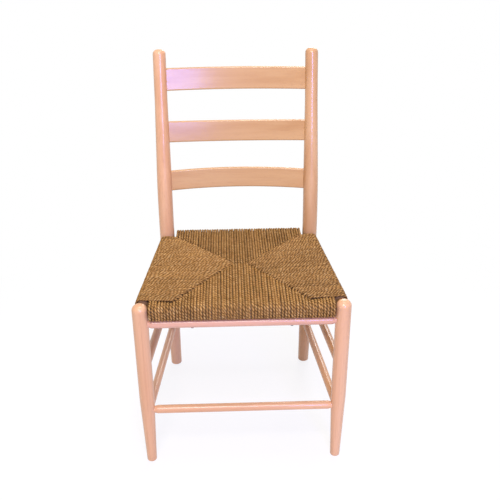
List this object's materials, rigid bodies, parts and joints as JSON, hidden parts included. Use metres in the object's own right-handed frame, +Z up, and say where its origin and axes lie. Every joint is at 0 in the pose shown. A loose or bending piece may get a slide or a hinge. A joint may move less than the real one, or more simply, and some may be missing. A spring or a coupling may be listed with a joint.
{
  "type": "ladderback chair",
  "caption": "Ladderback dining chair with turned posts and rungs, bowed back slats and a woven cord seat on its own frame",
  "frame": {"origin": "on the floor under the middle of the chair's outline", "axes": "+X to the viewer's right seen from the front, +Y from the front to the back, +Z up"},
  "size_m": [0.489, 0.48, 0.908],
  "materials": {
    "chair_wood": "satin clear lacquer on pale hardwood",
    "frame_wood": "bare sanded softwood",
    "seat_cord": "twisted paper cord, matt",
    "stuffing": "layered brown card",
    "screw_steel": "dulled zinc"
  },
  "bodies": {
    "root": {"left_lower_rung": "chair_wood", "left_upper_rung": "chair_wood", "left_seat_rung": "chair_wood", "right_lower_rung": "chair_wood", "right_upper_rung": "chair_wood", "right_seat_rung": "chair_wood", "front_lower_rung": "chair_wood", "front_seat_rung": "chair_wood", "rear_lower_rung": "chair_wood", "rear_seat_rung": "chair_wood", "top_slat": "chair_wood", "middle_slat": "chair_wood", "bottom_slat": "chair_wood", "left_front_post": "chair_wood", "right_front_post": "chair_wood", "left_rear_post": "chair_wood", "right_rear_post": "chair_wood", "front_rail": "frame_wood", "rear_rail": "frame_wood", "left_rail": "frame_wood", "right_rail": "frame_wood", "right_front_corner_block": "frame_wood", "left_front_corner_block": "frame_wood", "right_rear_corner_block": "frame_wood", "left_rear_corner_block": "frame_wood", "front_cord_panel": "seat_cord", "rear_cord_panel": "seat_cord", "left_cord_panel": "seat_cord", "right_cord_panel": "seat_cord", "seat_padding": "stuffing", "seat_screws": "screw_steel"}
  },
  "joints": []
}
